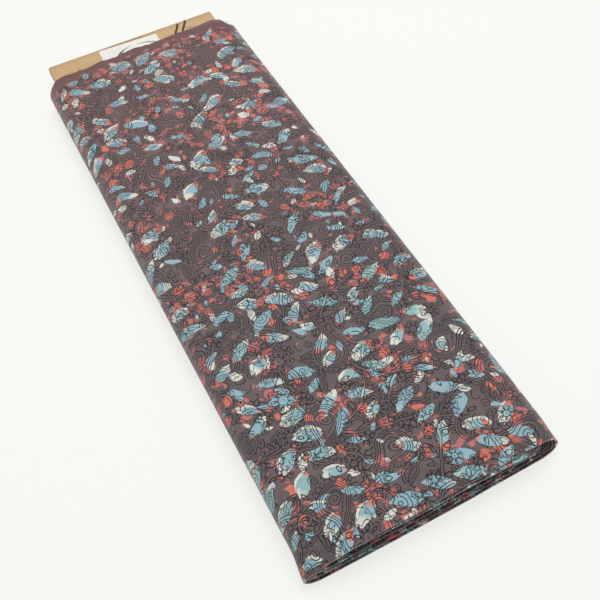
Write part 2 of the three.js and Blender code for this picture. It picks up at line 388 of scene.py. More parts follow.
def line_layer(g, x, y):
    """All the dark lines of the print, from the ground up."""
    # small fillers: curls, rings and drops
    px, py, pick, _, spare = spun_cells(g, x, y, pitch=9.6, angle=12, seed=3, loose=0.3)
    r = g.length(px, py)
    arcs = line(g, r, 3.2) * (px > -1.0)
    drop = line(g, g.length(px * 0.5, py), 1.25)
    curl = spiral(g, px, py, radius=3.7, pitch=1.9)
    ink = g.pick(pick < 0.4, g.pick(pick < 0.7, arcs, drop), curl) * (r < 4.0) * (spare < 0.8)

    # leaves and small rosettes
    px, py, pick, _, spare = spun_cells(g, x, y, pitch=18.5, angle=49, seed=11, loose=0.25)
    leaf = sprig(g, px, py, length=8.2, width=3.4)
    flower = rosette(g, px, py, radius=6.6, petals=7)
    motif, cover = either(g, pick < 0.52, leaf, flower)
    ink = g.pick(cover * (spare < 0.8), ink, motif)

    # long swinging stems
    motif, cover = vines(g, x, y, angle=28, pitch=40.0, swing=16.0, wave=142.0, leaflet=8.6)
    ink = g.pick(cover, ink, motif)
    motif, cover = vines(g, x, y, angle=-52, pitch=52.0, swing=21.0, wave=168.0, leaflet=10.2)
    ink = g.pick(cover, ink, motif)

    # stems that curl
    px, py, _, _, spare = spun_cells(g, x, y, pitch=38.0, angle=8, seed=31, loose=0.3)
    motif, cover = scroll(g, px, py, radius=10.0, pitch=7.6)
    ink = g.pick(cover * (spare < 0.48), ink, motif)

    # shells and larger rosettes
    px, py, pick, _, spare = spun_cells(g, x, y, pitch=33.0, angle=-17, seed=23, loose=0.3)
    fan = shell(g, px, py, radius=11.0)
    flower = rosette(g, px, py, radius=10.5, petals=9)
    motif, cover = either(g, pick < 0.5, fan, flower)
    ink = g.pick(cover * (spare < 0.66), ink, motif)

    # the large paisleys
    px, py, _, _, spare = spun_cells(g, x, y, pitch=49.0, angle=33, seed=41, loose=0.2)
    motif, cover = paisley(g, px, py + 5.0, head=12.0, tail=22.0, bend=0.02)
    return g.pick(cover * (spare < 0.8), ink, motif)


# ---- The print: colours ----
GROUND_NEAR = (0.143, 0.108, 0.112)
GROUND_FAR = (0.173, 0.105, 0.103)
GROUND_SELVEDGE = (0.168, 0.074, 0.071)
GROUND_PALE = (0.25, 0.17, 0.17)
GROUND_DARK = (0.098, 0.083, 0.090)
BLUE = (0.318, 0.490, 0.562)
TEAL = (0.318, 0.515, 0.512)
CORAL = (0.700, 0.190, 0.135)
ROSE = (0.530, 0.180, 0.168)
CREAM = (0.760, 0.760, 0.680)
LINE_TINT = (0.10, 0.11, 0.12)  # what a line leaves of the colour under it
COLOUR_SCALE = 1.05
SLANTS = (-24, 37)  # degrees: the two ways that the leaves lie
LEAF = {"length": 10.4, "width": 3.9}  # half of each, in mm
CREAM_LEAF = {"length": 9.2, "width": 3.4}  # printed first, so that its rim shows past the blue leaf
SCRAP = {"length": 5.2, "width": 2.5}


def leaf_patch(g, x, y, leaf, scale, fray):
    """The distance outside a pointed leaf whose edge is frayed."""
    return lens(g, x / scale, y / scale, **leaf) * scale + fray


def colour_layer(g, x, y, rough, ground):
    """Coral blots, cream and blue leaves on the ground colour. rough is noise that frays every edge."""
    where = g.point(x, y)
    fray = (rough - 0.5) * 1.4
    group = g.noise(where, 42.0, 1.0)

    # coral: soft blots and small lobed flowers, in loose groups
    blot = g.noise(where, 8.0, 1.5) + (group - 0.5) * 0.5
    result = g.colour(g.ramp(blot, 0.62, 0.66), ground, ROSE)
    px, py, pick, size, spare = spun_cells(g, x, y, pitch=11.5, angle=21, seed=5, loose=0.35)
    lobes = abs(g.sin(g.angle(px, py) * 2.5)) * 0.9
    edge = g.length(px, py) - lobes - g.ramp(size, 0.0, 1.0, 1.5, 3.9) + fray * 0.6
    shown = (pick + (group - 0.5) * 2.4) > g.ramp(abs(y), 480.0, 330.0, 0.54, 0.66)
    tone = g.colour(g.ramp(spare, 0.25, 0.9), CORAL, ROSE)
    result = g.colour(g.ramp(edge, 0.45, -0.45) * shown, result, tone)

    # small scraps of blue and cream
    px, py, pick, size, spare = spun_cells(g, x, y, pitch=14.0, angle=-9, seed=9, loose=0.4)
    edge = leaf_patch(g, px, py, SCRAP, g.ramp(size, 0.0, 1.0, 0.5, 1.25), fray)
    fill = g.colour(spare < 0.5, CREAM, BLUE)
    result = g.colour((edge < 0.0) * (pick < 0.46), result, fill)

    # the main leaves, which lie one way or the other across the cloth
    grid = {"pitch": (24.5, 17.5), "angle": sum(SLANTS) / 2, "seed": 61, "loose": 0.22}
    px, py, turn, pick, size, spare = cells(g, x, y, **grid)
    lean = radians(SLANTS[1] - SLANTS[0]) / 2
    lean = g.pick(turn < 0.5, lean, -lean) + (g.fract(turn * 9.0) - 0.5) * 0.4
    px, py = g.spun(px, py, lean)
    scale = g.ramp(size, 0.0, 1.0, 0.67, 1.22)
    side = (g.fract(spare * 5.0) - 0.5) * 5.5
    cream = leaf_patch(g, px - side, py - 2.8, CREAM_LEAF, scale, fray)
    shown = pick < g.ramp(abs(y), 100.0, 380.0, 0.84, 0.54)
    with_cream = spare < g.ramp(abs(y), 330.0, 480.0, 0.32, 0.75)
    result = g.colour((cream < 0.0) * shown * with_cream, result, CREAM)
    edge = leaf_patch(g, px, py, LEAF, scale, fray)
    fill = g.colour(g.ramp(pick, 0.3, 0.95), BLUE, TEAL)
    pale = g.ramp(px * (spare - 0.5) + (rough - 0.5) * 4.0, 0.6, 2.6)
    fill = g.colour(pale, fill, CREAM)
    warm = g.ramp(px * (0.5 - spare) + (rough - 0.5) * 3.0, 1.5, 3.2)
    fill = g.colour(warm, fill, CORAL)
    result = g.colour((edge < 0.0) * shown, result, fill)
    outline = line(g, edge, 0.1) * shown * g.ramp(rough, 0.35, 0.6, 0.0, 0.7)
    return g.colour(outline, result, LINE_TINT, "MULTIPLY")


# ---- The cloth's material ----
COLOUR_MARGIN = 8.0  # mm from a selvedge to the first colour
LINE_MARGIN = 12.0  # and to the first line
# Where the ground changes, in mm from a selvedge: each change starts at the first and ends at the second.
GROUND_CHANGE = (420.0, 30.0)
SELVEDGE_CHANGE = (30.0, 4.0)
PRINT_FADE = (34.0, 8.0)
SELVEDGE_EDGE = (1.7, 0.7)
SELVEDGE_SHADE = (0.10, 0.036, 0.038)  # painted shade along the selvedge's edge
WRONG_SIDE = (0.215, 0.145, 0.145)
# painted highlight along the fold of each winding
FOLD_HIGHLIGHT = (0.46, 0.43, 0.43)
SLUB = (0.02, 0.015, 0.015)
YARN = 0.42  # mm between yarns
BLOCK_WAVE = 17.0  # mm between the places where the blocks were set down untrue
BLOCK_DRIFT = 7.0  # mm


def printed_cotton():
    material, g, shader = new_material("printed cotton", specular=0.3)
    attribute = g.node("ShaderNodeAttribute", attribute_name="unrolled")
    x, y, wrong_side = g.split(attribute.outputs["Vector"])
    x, y = x * 1000.0, y * 1000.0
    where = g.point(x, y)

    # the hand of the block: everything is a little out of true
    shift_x, shift_y, _ = g.split(g.noise_node(where, BLOCK_WAVE, 1.0).outputs["Color"])
    drawn_x = x + (shift_x - 0.5) * BLOCK_DRIFT
    drawn_y = y + (shift_y - 0.5) * BLOCK_DRIFT
    rough = g.noise(where, 3.2)

    from_selvedge = BOLT_LENGTH * 1000 - abs(y)
    uneven = from_selvedge + (shift_x - 0.5) * 16.0
    mottle = g.noise(where, 28.0, 3.0, 0.6)
    ground = g.colour(g.ramp(from_selvedge, *GROUND_CHANGE), GROUND_NEAR, GROUND_FAR)
    ground = g.colour(g.ramp(mottle, 0.42, 0.7, 0.0, 0.3), ground, GROUND_PALE)
    ground = g.colour(g.ramp(mottle, 0.50, 0.32, 0.0, 0.55), ground, GROUND_DARK)
    ground = g.colour(g.ramp(from_selvedge, *SELVEDGE_CHANGE, 0.0, 0.85), ground, GROUND_SELVEDGE)

    printed = colour_layer(g, drawn_x / COLOUR_SCALE, drawn_y / COLOUR_SCALE, rough, ground)
    printed = g.colour(uneven > COLOUR_MARGIN, ground, printed)
    printed = g.colour(g.ramp(from_selvedge, *PRINT_FADE, 0.0, 0.3), printed, ground)
    ink = line_layer(g, drawn_x / LINE_SCALE, drawn_y / LINE_SCALE)
    ink = ink * (uneven > LINE_MARGIN) * g.ramp(rough, 0.28, 0.42, 0.55, 1.0)
    base = g.colour(ink, printed, LINE_TINT, "MULTIPLY")

    # the unprinted side, with the print only shining through, painted shade along the selvedge's edge and a
    # painted highlight along the fold
    base = g.colour(wrong_side * 0.55, base, WRONG_SIDE)
    # painted shade: a dark band along the selvedge's edge
    base = g.colour(g.ramp(from_selvedge, *SELVEDGE_EDGE, 0.0, 0.75), base, SELVEDGE_SHADE)
    # painted highlight: a pale line along each winding's fold
    fold = g.ramp(abs(y), 0.75, 0.2) * g.ramp(rough, 0.3, 0.7, 0.1, 0.5)
    base = g.colour(fold, base, FOLD_HIGHLIGHT)

    # yarns over and under each other as bump, and uneven threads that are a little darker
    slub = g.noise(g.point(x * 0.08, y * 2.0), 1.0, 1.0)
    base = g.colour(g.ramp(slub, 0.3, 0.75, 0.0, 0.16), base, SLUB)
    weave = g.sin(x * (2 * pi / YARN)) * g.sin(y * (2 * pi / YARN))
    g.bump(shader, weave, strength=0.35, depth=0.12 * MM)
    g.feed(shader.inputs["Base Color"], base)
    g.feed(shader.inputs["Roughness"], g.ramp(mottle, 0.2, 0.8, 0.78, 0.9))
    shader.inputs["Sheen Weight"].default_value = 0.4
    shader.inputs["Sheen Roughness"].default_value = 0.5
    return material


# ---- The section of the winding ----
BULGE_RADIUS = ((BOARD_THICKNESS / 2) ** 2 + SIDE_BULGE**2) / (2 * SIDE_BULGE)
BULGE_ANGLE = asin(BOARD_THICKNESS / 2 / BULGE_RADIUS)
BULGE_CENTRE_X = BOARD_HALF + SIDE_BULGE - BULGE_RADIUS


def smooth(low, high, value):
    share = np.clip((value - low) / (high - low), 0, 1)
    return share * share * (3 - 2 * share)


# Steps round a winding: the longest on its top and on its underside, and how many go round a corner of
# the board and round a bulge.
FINE_STEPS, COARSE_STEPS = (2.6 * MM, 8 * MM, 4, 18), (5 * MM, 16 * MM, 3, 12)
CLIMB_STEPS = 5


def section(fine):
    """Points round the board as rows of x, z, the direction out of it (x, z), bulge and climb."""
    step_top, step_under, corner_steps, bulge_steps = FINE_STEPS if fine else COARSE_STEPS
    rows = []

    def flat(x_from, x_to, side):
        z = BOARD_HIGH.z if side > 0 else BOARD_LOW.z
        steps = max(1, round(abs(x_to - x_from) / (step_top if side > 0 else step_under)))
        for x in np.linspace(x_from, x_to, steps + 1)[1:]:
            rows.append((x, z, 0, side, 0, 0))

    def arc(cx, cz, radius, start, end, steps):
        for a in np.linspace(start, end, steps + 1)[1:]:
            x = cx + radius * cos(a)
            rows.append((x, cz + radius * sin(a), cos(a), sin(a), max(0, abs(x) - BOARD_HALF), 0))

    def edge(side):
        out = pi if side < 0 else 0.0
        low, high = (BOARD_LOW.z, BOARD_HIGH.z) if side < 0 else (BOARD_HIGH.z, BOARD_LOW.z)
        leaves, meets = out + BULGE_ANGLE, out - BULGE_ANGLE
        arc(side * BOARD_HALF, low, 0, out + pi / 2, leaves, corner_steps)
        arc(side * BULGE_CENTRE_X, MIDDLE_Z, BULGE_RADIUS, leaves, meets, bulge_steps)
        arc(side * BOARD_HALF, high, 0, meets, out - pi / 2, corner_steps)

    rows.append((FREE_END_X, BOARD_LOW.z, 0, -1, 0, 0))
    flat(FREE_END_X, -BOARD_HALF, -1)
    edge(-1)
    flat(-BOARD_HALF, BOARD_HALF, 1)
    edge(1)
    climb_start = FREE_END_X + SEAM + CLIMB
    flat(BOARD_HALF, climb_start, -1)
    for share in np.linspace(0, 1, CLIMB_STEPS + 1)[1:]:
        x = climb_start - CLIMB * share
        rows.append((x, BOARD_LOW.z, 0, -1, 0, float(smooth(0, 1, share))))
    return np.array(rows, float)


# ---- The cloth's edges, its fall past the board and its creases ----
def across(x, left, middle, right):
    share = np.clip(x / BOLT_HALF_WIDTH, -1, 1)
    return middle + np.where(share < 0, left - middle, right - middle) * share**2


def wander(x, turn):
    x = x / MM
    short = np.sin(x / WANDER["short_wave"] + WANDER["per_turn"] * turn)
    return WANDER["depth"] * (1 + short * np.cos(x / WANDER["long_wave"] + turn))


def by_side(x, pair):
    return np.where(x < 0, pair[0], pair[1])


def from_line(x, y, start, end):
    """How far along a line a place is, as a share of its length, and how far to its left."""
    (x0, y0), (x1, y1) = start, end
    length = hypot(x1 - x0, y1 - y0)
    along = ((x - x0) * (x1 - x0) + (y - y0) * (y1 - y0)) / length**2
    return along, ((y - y0) * (x1 - x0) - (x - x0) * (y1 - y0)) / length


# The fold of the outer winding of each turn opens into a soft roll, and the windings inside it stop
# behind the roll. At the two upper corners the inner turns stop short, so the outermost is empty there.
ROLL = {"reach": 5.0, "opens": 0.53}  # mm
BEHIND_ROLL = {"first": 5.4, "each": 0.9, "uneven": 0.5}  # mm
CORNER_HOLLOWS = {"from_x": 84.0, "to_x": 99.0, "back": (7.0, 9.0)}  # mm


def corner_hollow(x, z):
    share = smooth(CORNER_HOLLOWS["from_x"] * MM, CORNER_HOLLOWS["to_x"] * MM, abs(x))
    return by_side(x, CORNER_HOLLOWS["back"]) * MM * share * smooth(BOARD_LOW.z, MIDDLE_Z, z)


def near_edge(turn, x, z):
    row = TURNS[turn]
    height = smooth(0, BOLT_THICKNESS, z)
    back = across(x, *row["under"]) * (1 - height) + across(x, *row["over"]) * height
    return NEAR_Y + MM * (back + wander(x, turn) * (height if turn == 0 else 1))


def far_edge(turn, x):
    back = by_side(x, FAR_CORNERS["back"]) * smooth(FAR_CORNERS["from_x"] * MM, BOLT_HALF_WIDTH, abs(x))
    uneven = 0 if turn == 0 else wander(x, turn + len(TURNS))
    slant = SELVEDGE_SLANT * (BOLT_HALF_WIDTH - x)
    return FAR_Y - MM * (TURNS[turn]["selvedge"] + back + uneven) - slant


def near_share(y):
    return 1 - smooth(NEAR_Y, BOARD_LOW.y - MARGIN, y)


def far_share(y):
    return smooth(FAR_Y - LIFT_ZONE, FAR_Y, y)


def fall(droop, lift, x, y, z):
    """The height of a point that would lie at z if the cloth were wound flat from end to end."""
    top = smooth(BOARD_LOW.z + MARGIN, BOARD_HIGH.z - MARGIN, z)
    corner = smooth(NEAR_CORNERS["from_x"] * MM, BOLT_HALF_WIDTH, abs(x))
    drop = droop + (by_side(x, NEAR_CORNERS["drop"]) - droop) * corner
    rise = LIFT_EVERYWHERE + sum(
        row["share"] * np.exp(-(((x / MM - row["x"]) / row["spread"]) ** 2)) for row in LIFTS
    )
    height = z - MM * top * near_share(y) * drop + MM * top * far_share(y) * lift * rise
    return height * (1 - by_side(x, NEAR_CORNERS["flatten"]) * near_share(y) * corner)


def sideways(bulge, x, y):
    growth = [by_side(x, corners["bulge"]) * MM / SIDE_BULGE - 1 for corners in (NEAR_CORNERS, FAR_CORNERS)]
    return x + np.sign(x) * (growth[0] * near_share(y) + growth[1] * far_share(y)) * bulge


# Soft creases in the outer windings, in millimetres: where each starts and ends on the top, how wide it
# is and how high. A trough has a height below 0.
CREASES = [
    ((-25, 271), (-33, 248), 2.2, -1.1),
    ((-20, 271), (-28, 244), 3.0, 0.8),
    ((3, 270), (-4, 254), 2.2, -0.9),
    ((8, 270), (2, 250), 2.8, 0.6),
    ((74, 262), (86, 120), 5.0, 0.55),
    ((66, 268), (73, 190), 3.6, -0.4),
    ((-86, 250), (-60, 150), 6.0, 0.45),
    ((-90, -40), (-58, -260), 8.0, 0.5),
    ((-84, -120), (-70, -285), 4.0, -0.35),
    ((20, -296), (34, -200), 6.0, 0.4),
    ((88, -120), (70, -290), 6.0, 0.5),
    ((-30, 20), (40, -40), 9.0, 0.3),
]
# Long swells of the top: height in millimetres, waves across and along, and where they start.
SWELLS = [(0.13, 96, 210, 0.4), (0.11, 61, 330, 2.1), (0.08, 43, 120, 4.0), (0.05, 27, 75, 1.2)]
SELVEDGE_WAVES = [(0.20, 46, 0.8), (0.15, 21, 2.6), (0.10, 12.5, 4.4)]
WAVE_REACH = 14  # mm from the selvedge to where its waves have died down
# Where the selvedge wanders from a straight line: x, spread and how far, in millimetres.
SELVEDGE_BENDS = [
    (-92, 7, 1.6), (-78, 14, -1.4), (-59, 9, -1.6), (-44, 9, 0.8), (-21, 3.5, 1.2), (-17, 2.6, -1.2),
    (-12, 12, 2.2), (3.5, 3.5, 0.3), (9, 3, -0.9), (58, 24, 0.6), (91, 2.4, 2.0), (96.5, 4, -3.6),
]
TOP_PLY = {"from_x": 30.0, "to_x": 90.0, "back": 5.6}  # mm: the outermost ply runs back at the right


def swell(x, y, z):
    """How far the outer cloth stands off where it would lie if it were pressed flat."""
    top = smooth(MIDDLE_Z, BOARD_HIGH.z + 2 * MM, z)
    x, y = x / MM, y / MM
    height = sum(
        h * (1 + np.sin(2 * pi * x / a + p) * np.sin(2 * pi * y / b + 2 * p)) for h, a, b, p in SWELLS
    )
    for start, end, width, most in CREASES:
        along, away = from_line(x, y, start, end)
        strength = smooth(-0.15, 0.15, along) * (1 - smooth(0.6, 1.1, along))
        height = height + most * strength * np.exp(-((away / width) ** 2))
    waves = sum(h * (1 + np.sin(2 * pi * x / a + p)) for h, a, p in SELVEDGE_WAVES)
    height = height + waves * smooth(FAR_Y / MM - WAVE_REACH, FAR_Y / MM, y)
    return MM * top * np.maximum(height, 0)


# ---- One winding of doubled cloth ----
# Where the points of a ply lie from its selvedge to its fold: mm back from the selvedge, how many
# between, and mm back from the fold. The coarse ones are for the plies that hardly show.
FAR_ZONE, NEAR_ZONE = 24, 26  # mm
FINE_PLY = {
    "far": (0, 0.6, 1.5, 3, 5, 8, 12, 17, FAR_ZONE),
    "between": 96,
    "near": (NEAR_ZONE, 20, 15, 11, 8, 5.5, 4, 2.8, 1.8, 1, 0.4),
}
COARSE_PLY = {"far": (0, 1.5, 5, 12, FAR_ZONE), "between": 6, "near": (NEAR_ZONE, 17, 10, 6, 4, 2.5, 1.2)}
FOLD_POINTS = 9
SWELL_ZONE = (24 * MM, 10 * MM)
SWELL_DEPTH = 4  # windings in, to where a swell has died down to about a third
RIPPLES = {"near": (0.25, 9, 6), "far": (0.35, 7, 5)}  # mm: height and wave, and the most it is shifted
INNER_SELVEDGE = 0.5 * MM  # how far each winding's selvedge lies behind the last one's in the same turn
INNER_PLY = {"back": 0.9, "uneven": 0.6}  # mm: how far a ply's selvedge lies behind the outer ply's
DROOP_STEP = 0.1  # of the way to the next turn's droop, for each winding
JITTER = np.random.default_rng(7).uniform(-1, 1, (WINDINGS, 4))


def along_ply(points, place):
    """Rows of where a point lies and its place in the doubled thickness, from 1 (the outer ply) to -1."""
    rows = [("far", mm, place) for mm in points["far"]]
    rows += [("between", share, place) for share in np.linspace(0, 1, points["between"] + 2)[1:-1]]
    return rows + [("near", mm, place) for mm in points["near"]]


def swell_share(number, place, y):
    """Only the outermost ply keeps the swells all along; the others have them near their edges."""
    if number == 0 and place > 0:
        return 1
    return np.maximum(smooth(*SWELL_ZONE, FAR_Y - y), smooth(*SWELL_ZONE, y - NEAR_Y))


def ripple(x, edge, jitter):
    height, wave, shift = RIPPLES[edge]
    return MM * height * np.sin(x / MM / wave + shift * jitter)


def build_winding(number, unrolled_from):
    """Vertices, faces and unrolled places of one winding, outermost number 0, and its length."""
    turn, inner = divmod(number, WINDINGS_PER_TURN)
    row = TURNS[turn]
    fine = number == 0
    rows = section(fine)
    if number == WINDINGS - 1:
        rows[:, 5] = 0
    x0, z0, nx, nz, bulge, climb = rows.T
    total = WINDINGS * WINDING_PITCH + CLEARANCE
    depth = total - WINDING_PITCH * (number + 0.5) - WINDING_PITCH * climb
    next_row = TURNS[min(turn + 1, len(TURNS) - 1)]
    droop = row["droop"] + (next_row["droop"] - row["droop"]) * inner * DROOP_STEP
    lift = row["lift"] + (next_row["lift"] - row["lift"]) * inner / WINDINGS_PER_TURN
    centre_x, centre_z = x0 + nx * depth, z0 + nz * depth
    run = np.concatenate([[0], np.cumsum(np.hypot(np.diff(centre_x), np.diff(centre_z)))])

    jitter = JITTER[number]
    near = near_edge(turn, centre_x, centre_z)
    if number:
        near = near + corner_hollow(centre_x, centre_z) + ripple(centre_x, "near", jitter[1])
    if inner:
        behind = BEHIND_ROLL["first"] + BEHIND_ROLL["each"] * inner + BEHIND_ROLL["uneven"] * jitter[0]
        near = near + MM * behind
    near = np.maximum(near, NEAR_Y)
    far = far_edge(turn, centre_x) - inner * INNER_SELVEDGE
    above = smooth(MIDDLE_Z, BOARD_HIGH.z, centre_z)
    for x, spread, reach in SELVEDGE_BENDS:
        far = far + above * MM * reach * np.exp(-(((centre_x / MM - x) / spread) ** 2))
    far = far + ripple(centre_x, "far", jitter[2]) - MM * RIPPLES["far"][0]
    top_ply_back = TOP_PLY["back"] * smooth(TOP_PLY["from_x"] * MM, TOP_PLY["to_x"] * MM, centre_x)

    pressed = (PLY_GAP + PLY) / 2  # half the way between the middles of the two plies
    opens = 0 if inner else ROLL["opens"] * MM
    fold_y = near + pressed + opens + PLY / 2
    fold = [("fold", a, cos(a)) for a in np.linspace(0, pi, FOLD_POINTS)]
    back = along_ply(COARSE_PLY, -1.0)[::-1]
    stations = along_ply(FINE_PLY if fine else COARSE_PLY, 1.0) + fold + back
    vertices, unrolled = [], []
    for kind, value, place in stations:
        edge_far = far
        if fine and place >= 0:
            edge_far = far - MM * top_ply_back * above
        elif not fine and place < 0:
            edge_far = far - MM * (INNER_PLY["back"] + INNER_PLY["uneven"] * jitter[3])
        if kind == "far":
            y = edge_far - value * MM
        elif kind == "near":
            y = fold_y + value * MM
        elif kind == "fold":
            y = fold_y - (pressed + opens) * sin(value)
        else:
            reach_far, reach_near = edge_far - FAR_ZONE * MM, fold_y + NEAR_ZONE * MM
            y = reach_far + (reach_near - reach_far) * value
        fold_angle = value if kind == "fold" else (0.0 if place > 0 else pi)
        opening = opens * {"fold": 1, "near": 1 - smooth(0, ROLL["reach"], value)}.get(kind, 0)
        depth_in = number + 0.25 * ((place < 1) + (place <= 0))  # in windings
        for side in (1, -1):  # the printed side, then the other
            radius = pressed + opening + side * PLY / 2
            d = depth + radius * cos(fold_angle) - opening
            px, pz = x0 + nx * d, z0 + nz * d
            py = y - (side * PLY / 2) * sin(fold_angle)
            height = fall(droop, lift, px, py, pz)
            swells = swell(px, py, pz) * swell_share(number, place, py) * exp(-depth_in / SWELL_DEPTH)
            vertices.append(np.stack([sideways(bulge, px, py), py, height + swells], 1))
            v = (y - near) / (edge_far - near) * BOLT_LENGTH * (1 if place > 0 else -1)
            other = np.full_like(run, 0.0 if side > 0 else 1.0)
            unrolled.append(np.stack([unrolled_from + run, v, other], 1))
    faces = walls(len(stations), len(rows))
    return np.concatenate(vertices), faces, np.concatenate(unrolled), run[-1]


# ---- Pieces ----
def walls(stations, count, closed=False):
    """The faces of a thin wall whose points lie in rows of one count: at each station one row for its
    first side and then one for its second. A closed wall's rows run round."""

    def at(station, side, i):
        return (station * 2 + side) * count + i % count

    faces, steps, last = [], range(count if closed else count - 1), count - 1
    for a, b in zip(range(stations - 1), range(1, stations)):
        for i in steps:
            faces.append((at(a, 0, i), at(a, 0, i + 1), at(b, 0, i + 1), at(b, 0, i)))
            faces.append((at(a, 1, i), at(b, 1, i), at(b, 1, i + 1), at(a, 1, i + 1)))
        if not closed:
            faces.append((at(a, 0, 0), at(b, 0, 0), at(b, 1, 0), at(a, 1, 0)))
            faces.append((at(a, 1, last), at(b, 1, last), at(b, 0, last), at(a, 0, last)))
    end = stations - 1
    for i in steps:
        faces.append((at(0, 1, i), at(0, 1, i + 1), at(0, 0, i + 1), at(0, 0, i)))
        faces.append((at(end, 0, i), at(end, 0, i + 1), at(end, 1, i + 1), at(end, 1, i)))
    return faces


def make_piece(name, vertices, faces, material, slot, replaces=()):
    mesh = bpy.data.meshes.new(name)
    mesh.from_pydata([tuple(v) for v in vertices], [], faces)
    mesh.update()
    mesh.polygons.foreach_set("use_smooth", [True] * len(mesh.polygons))
    mesh.materials.append(material)
    piece = bpy.data.objects.new(name, mesh)
    bpy.context.scene.collection.objects.link(piece)
    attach(piece, "root")
    if replaces:
        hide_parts(*replaces)
    return piece


def make_cloth(material):
    unrolled_from = 0.0
    for turn in range(len(TURNS)):
        vertices, faces, unrolled, length = [], [], [], 0.0
        for inner in range(WINDINGS_PER_TURN):
            made = build_winding(turn * WINDINGS_PER_TURN + inner, unrolled_from)
            base = sum(len(v) for v in vertices)
            vertices.append(made[0])
            faces += [tuple(i + base for i in face) for face in made[1]]
            unrolled.append(made[2])
            length += made[3]
            unrolled_from += made[3]
        name, solid = f"fabric_turn_{turn + 1}", f"cloth_turn_{turn + 1}"
        piece = make_piece(name, np.concatenate(vertices), faces, material, "printed_cotton", [solid])
        attribute = piece.data.attributes.new("unrolled", "FLOAT_VECTOR", "POINT")
        attribute.data.foreach_set("vector", np.concatenate(unrolled).astype(np.float32).ravel())


# ---- The board: three plies of corrugated board inside a folded wrap ----
LINER = {"thickness": 0.4 * MM, "back": 0.3 * MM, "points": 30}  # back: from the ends of the wrap
FLUTE = {"thickness": 0.22 * MM, "back": 0.5 * MM, "points": 12, "pitch": 7.4 * MM, "plies": 3}
FOLD_RADIUS = 1.8 * MM
FOLD_STEPS = 6
WRAP_BREAKS = (-100 * MM, 100 * MM, BOARD_HIGH.y - 30 * MM, BOARD_HIGH.y - 12 * MM)
CARDBOARD = (0.59, 0.398, 0.214)
FIBRE, CLOUD, FLUTE_SHADE = (0.46, 0.30, 0.15), (0.64, 0.46, 0.27), (0.36, 0.22, 0.10)
MARKER = (0.046, 0.030, 0.012)
MARKS = [(48.0, 288.0), (57.5, 290.0)]  # mm: the middles of two plain slanted strokes
MARK = {"half_length": 10.0, "half_width": 1.3, "angle": radians(62), "depth": 1.0}
# a thin dark line on the board just past the label: its middle, half length and half width in mm
DARK_LINE = {"middle": (-10.5, 296.9), "half_length": 22.5, "half_width": 0.55, "angle": radians(-1.8)}
DARK_LINE_COLOUR = (0.15, 0.115, 0.05)


def strip(path, thickness, stations, closed=False):
    """A thin wall along a path in X and Z, drawn out along Y. Returns vertices and faces."""
    path = np.array(path, float)
    tangent = np.roll(path, -1, 0) - np.roll(path, 1, 0) if closed else np.gradient(path, axis=0)
    tangent /= np.linalg.norm(tangent, axis=1)[:, None]
    normal = np.stack([-tangent[:, 1], tangent[:, 0]], 1)
    vertices = []
    for y in stations:
        for side in (1, -1):
            edge = path + normal * (side * thickness / 2)
            vertices += [(x, y, z) for x, z in edge]
    return vertices, walls(len(stations), len(path), closed)


def join(parts):
    vertices, faces = [], []
    for some_vertices, some_faces in parts:
        base = len(vertices)
        vertices += [tuple(v) for v in some_vertices]
        faces += [tuple(i + base for i in face) for face in some_faces]
    return vertices, faces


def cardboard():
    material, g, shader = new_material("cardboard", specular=0.25, roughness=0.8)
    x, y, z = g.place()
    fibre = g.noise(g.point(x, y * 0.12, z), 1.3, 3.0, 0.7)
    cloud = g.noise(g.point(x, y, z), 21.0)
    flute = g.sin(x * (2 * pi / (FLUTE["pitch"] / MM)))
    base = g.colour(g.ramp(fibre, 0.35, 0.75, 0.0, 0.3), CARDBOARD, FIBRE)
    base = g.colour(g.ramp(cloud, 0.4, 0.7, 0.0, 0.25), base, CLOUD)
    base = g.colour(g.ramp(flute, -1.0, 1.0, 0.0, 0.05), base, FLUTE_SHADE)
    # a thin dark line on the board just past the label
    along, away = g.turned(x - DARK_LINE["middle"][0], y - DARK_LINE["middle"][1], DARK_LINE["angle"])
    dark_line = (abs(along) < DARK_LINE["half_length"]) * (abs(away) < DARK_LINE["half_width"])
    base = g.colour(dark_line * g.ramp(cloud, 0.3, 0.6, 0.4, 0.95), base, DARK_LINE_COLOUR)
    ink = 0.0
    for mark_x, mark_y in MARKS:
        along, away = g.turned(x - mark_x, y - mark_y, MARK["angle"])
        wobble = g.sin(along * 0.3) * 0.3
        ink = (abs(along) < MARK["half_length"]) * (abs(away + wobble) < MARK["half_width"]) + ink
    ink = g.minimum(ink, 1.0) * (z > BOARD_HIGH.z / MM - MARK["depth"]) * 0.93
    g.feed(shader.inputs["Base Color"], g.colour(ink, base, MARKER))
    g.bump(shader, flute * 0.25 + fibre, strength=0.25, depth=0.3 * MM)
    return material


